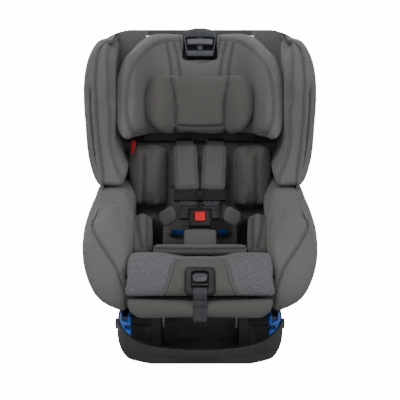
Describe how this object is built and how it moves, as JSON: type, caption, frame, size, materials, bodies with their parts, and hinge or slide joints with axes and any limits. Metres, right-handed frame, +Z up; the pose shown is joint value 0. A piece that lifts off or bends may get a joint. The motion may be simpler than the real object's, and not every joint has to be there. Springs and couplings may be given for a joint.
{
  "type": "convertible car seat",
  "caption": "Padded child car seat: a reclining bucket on a tub base, with a height-adjustable winged headrest, sliding leg rest and a buckled harness.",
  "frame": {"origin": "centre of the base's underside, on the surface that it rests on", "axes": "+Z up, the seat faces -Y, +X to the right as seen from the front"},
  "size_m": [0.483, 0.4749, 0.6611],
  "materials": {
    "cover_fabric": "woven, matt",
    "knit_fabric": "melange knit",
    "back_fabric": "woven, matt",
    "insert_fabric": "soft brushed jersey",
    "strap_pads": "soft woven",
    "webbing": "woven polyester webbing",
    "shell_plastic": "fine moulded grain",
    "base_plastic": "fine moulded grain",
    "dark_plastic": "satin moulded",
    "grey_plastic": "satin moulded",
    "red_plastic": "semi-gloss",
    "blue_plastic": "satin moulded",
    "steel": "zinc plated",
    "rubber": "matt"
  },
  "bodies": {
    "base": {"base_tub": "base_plastic", "base_foot_tray": "base_plastic", "non_slip_pads": "rubber", "base_screws": "steel", "recline_tracks": "base_plastic", "belt_guides": "blue_plastic", "anchor_connectors": "dark_plastic"},
    "recline_button_left": {"recline_button_left": "grey_plastic", "recline_pin_left": "steel"},
    "recline_button_right": {"recline_button_right": "grey_plastic", "recline_pin_right": "steel"},
    "headrest": {"headrest_pad": "cover_fabric", "headrest_frame": "shell_plastic", "headrest_handle": "dark_plastic", "head_pillow": "insert_fabric", "shoulder_pad_left": "strap_pads", "shoulder_pad_right": "strap_pads", "shoulder_strap_left": "webbing", "shoulder_strap_right": "webbing"},
    "headrest_trigger": {"headrest_trigger": "grey_plastic", "headrest_lock_bar": "steel"},
    "leg_rest": {"leg_rest_frame": "shell_plastic", "leg_rest_pad": "cover_fabric", "adjuster_strap_tail": "webbing"},
    "adjuster_button": {"adjuster_button": "grey_plastic"},
    "buckle_button": {"buckle_button": "red_plastic"},
    "chest_clip_button": {"chest_clip_button": "dark_plastic"},
    "tongue_left": {"tongue_left": "dark_plastic"},
    "tongue_right": {"tongue_right": "dark_plastic"},
    "seat": {"adjuster_plate": "dark_plastic", "adjuster_strap": "webbing", "arm_pad_left": "cover_fabric", "arm_pad_right": "cover_fabric", "back_cushion": "back_fabric", "buckle_housing": "dark_plastic", "chest_clip_left": "dark_plastic", "chest_clip_right": "dark_plastic", "crotch_pad": "strap_pads", "crotch_strap": "webbing", "headrest_guide_tubes": "steel", "headrest_rack": "steel", "insert_back": "insert_fabric", "insert_front_roll": "insert_fabric", "insert_hips": "insert_fabric", "insert_seat": "insert_fabric", "insert_side_left": "insert_fabric", "insert_side_right": "insert_fabric", "lap_pads": "strap_pads", "lap_straps": "webbing", "lower_straps": "webbing", "rear_straps": "webbing", "recline_runners": "shell_plastic", "seat_cushion": "knit_fabric", "seat_shell": "shell_plastic", "shell_belly": "shell_plastic", "splitter_plate": "steel", "tether_hook": "steel", "tether_strap": "webbing", "wing_pad_left": "cover_fabric", "wing_pad_right": "cover_fabric"}
  },
  "joints": [
    {"name": "shell_recline", "type": "hinge", "parent": "base", "child": "seat", "pos_m": [0, 0, 0.42], "axis": [-1, 0, 0], "range_deg": [0, 22]},
    {"name": "headrest_height", "type": "slide", "parent": "seat", "child": "headrest", "axis": [0, 0.213, 0.977], "range_m": [0, 0.16]},
    {"name": "headrest_trigger_squeeze", "type": "slide", "parent": "headrest", "child": "headrest_trigger", "axis": [0, 0.213, 0.977], "range_m": [0, 0.007], "stiffness_N_per_m": 900},
    {"name": "leg_rest_extend", "type": "slide", "parent": "seat", "child": "leg_rest", "axis": [0, -1, 0], "range_m": [0, 0.05]},
    {"name": "adjuster_button_press", "type": "slide", "parent": "seat", "child": "adjuster_button", "axis": [0, 0.8988, -0.4384], "range_m": [0, 0.003], "stiffness_N_per_m": 800},
    {"name": "buckle_button_press", "type": "slide", "parent": "seat", "child": "buckle_button", "axis": [0, 0.788, -0.6157], "range_m": [0, 0.003], "stiffness_N_per_m": 1200},
    {"name": "chest_clip_button_press", "type": "slide", "parent": "seat", "child": "chest_clip_button", "axis": [0, 0.6626, -0.749], "range_m": [0, 0.002], "stiffness_N_per_m": 600},
    {"name": "tongue_left_release", "type": "slide", "parent": "seat", "child": "tongue_left", "axis": [0, 0.6157, 0.788], "range_m": [0, 0.018], "deforming": ["lower_straps"]},
    {"name": "tongue_right_release", "type": "slide", "parent": "seat", "child": "tongue_right", "axis": [0, 0.6157, 0.788], "range_m": [0, 0.018], "deforming": ["lower_straps"]},
    {"name": "recline_button_left_press", "type": "slide", "parent": "base", "child": "recline_button_left", "axis": [1, 0, 0], "range_m": [0, 0.006], "stiffness_N_per_m": 900},
    {"name": "recline_button_right_press", "type": "slide", "parent": "base", "child": "recline_button_right", "axis": [-1, 0, 0], "range_m": [0, 0.006], "stiffness_N_per_m": 900}
  ]
}
